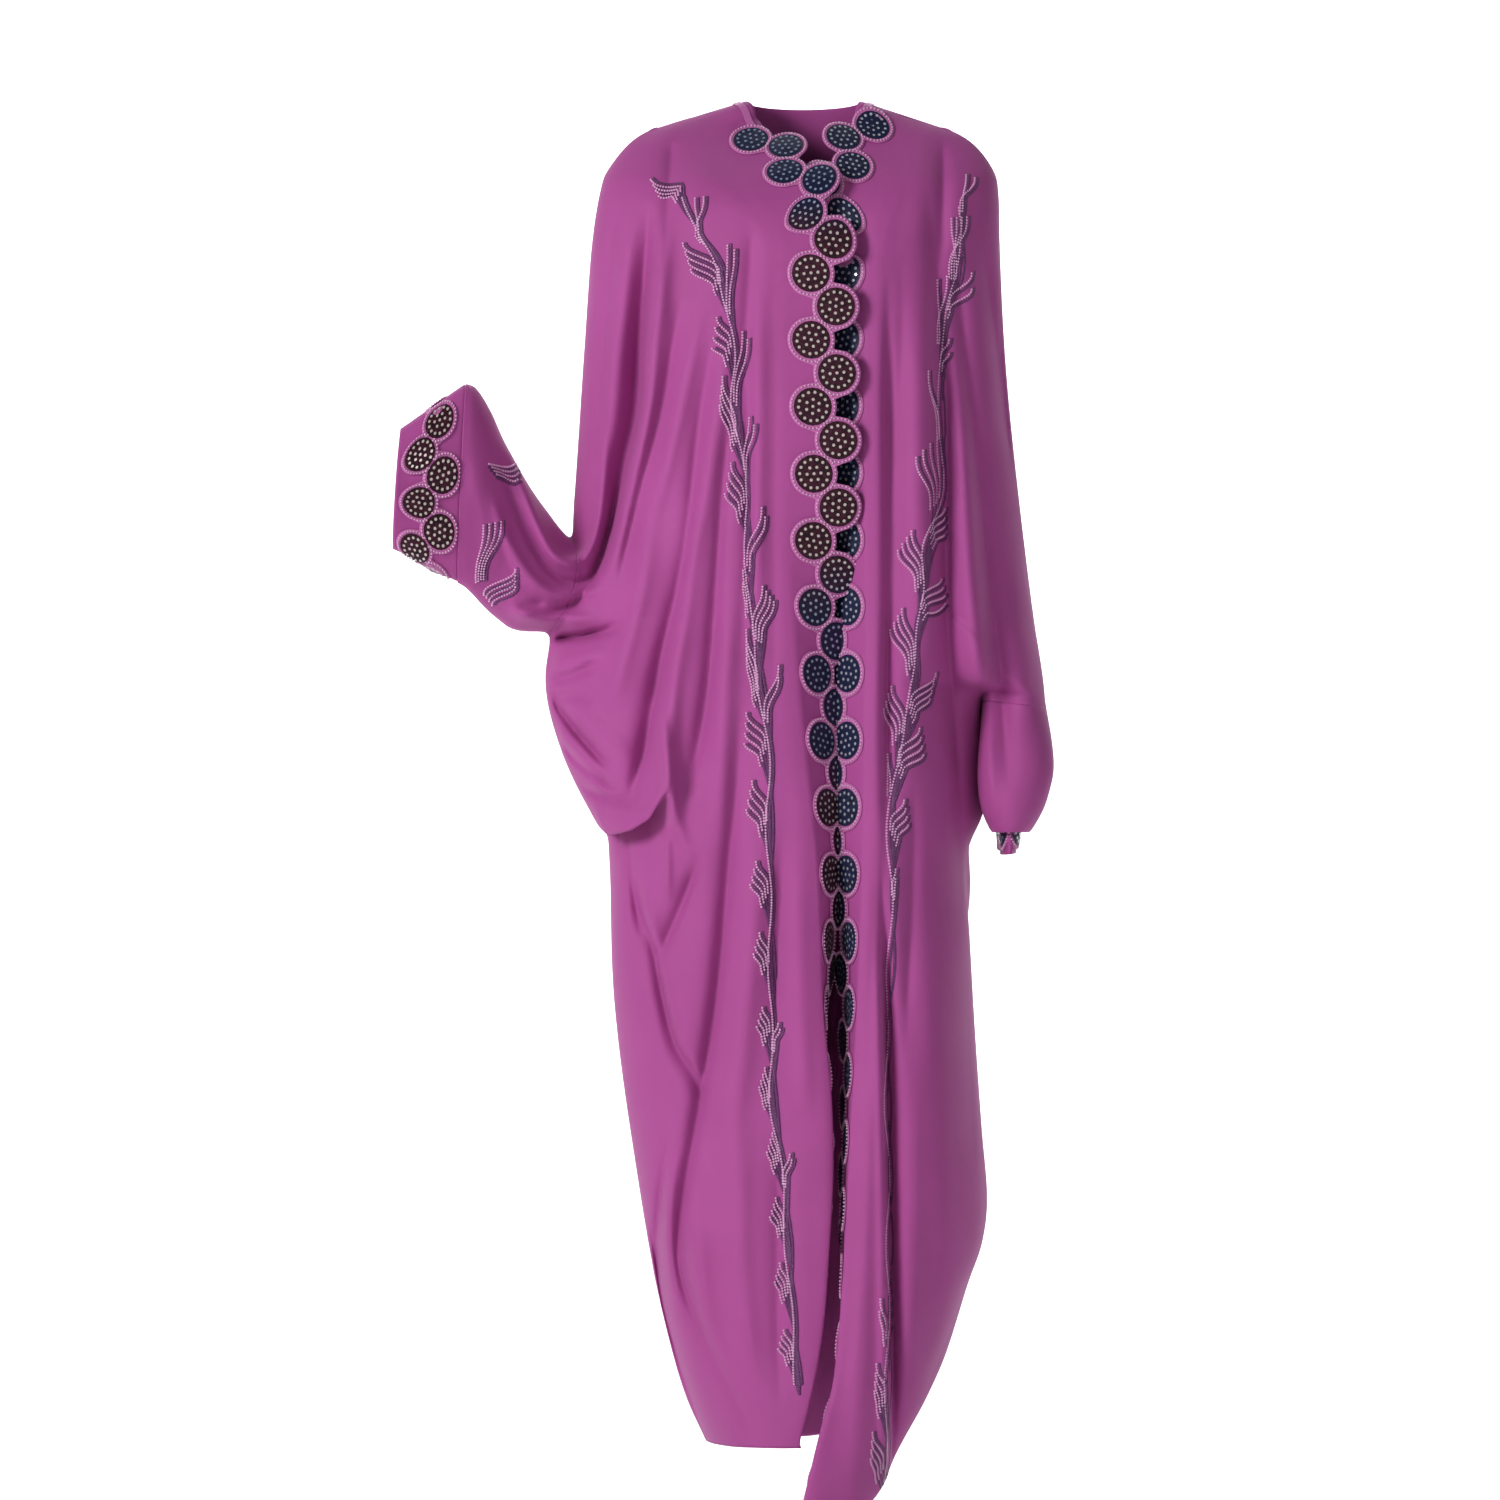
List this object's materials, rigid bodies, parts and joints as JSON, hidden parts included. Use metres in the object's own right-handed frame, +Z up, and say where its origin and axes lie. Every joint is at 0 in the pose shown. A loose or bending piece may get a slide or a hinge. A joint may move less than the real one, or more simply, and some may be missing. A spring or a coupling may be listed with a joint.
{
  "type": "kaftan",
  "caption": "Floor-length open-front kaftan with wide batwing sleeves, held in its worn shape, with a black disc border along the fronts, neck and cuffs.",
  "frame": {"origin": "between the shoulders at the height of the neck seam, where the wearer's shoulders carry it", "axes": "+Z up, the front faces -Y, +X is the wearer's left"},
  "size_m": [0.6938, 0.3281, 1.4911],
  "materials": {
    "orchid_crepe": "soft matt crepe with a faint sheen",
    "black_disc_border": "black sequinned and beaded discs"
  },
  "bodies": {
    "root": {"front_right": "orchid_crepe", "front_left": "orchid_crepe", "back": "orchid_crepe", "sleeve_right": "orchid_crepe", "sleeve_left": "orchid_crepe", "cuff_right": "orchid_crepe", "cuff_left": "orchid_crepe", "border_front_right": "black_disc_border", "border_front_left": "black_disc_border", "border_neck_back": "black_disc_border", "border_cuff_right": "black_disc_border", "border_cuff_left": "black_disc_border"}
  },
  "joints": []
}
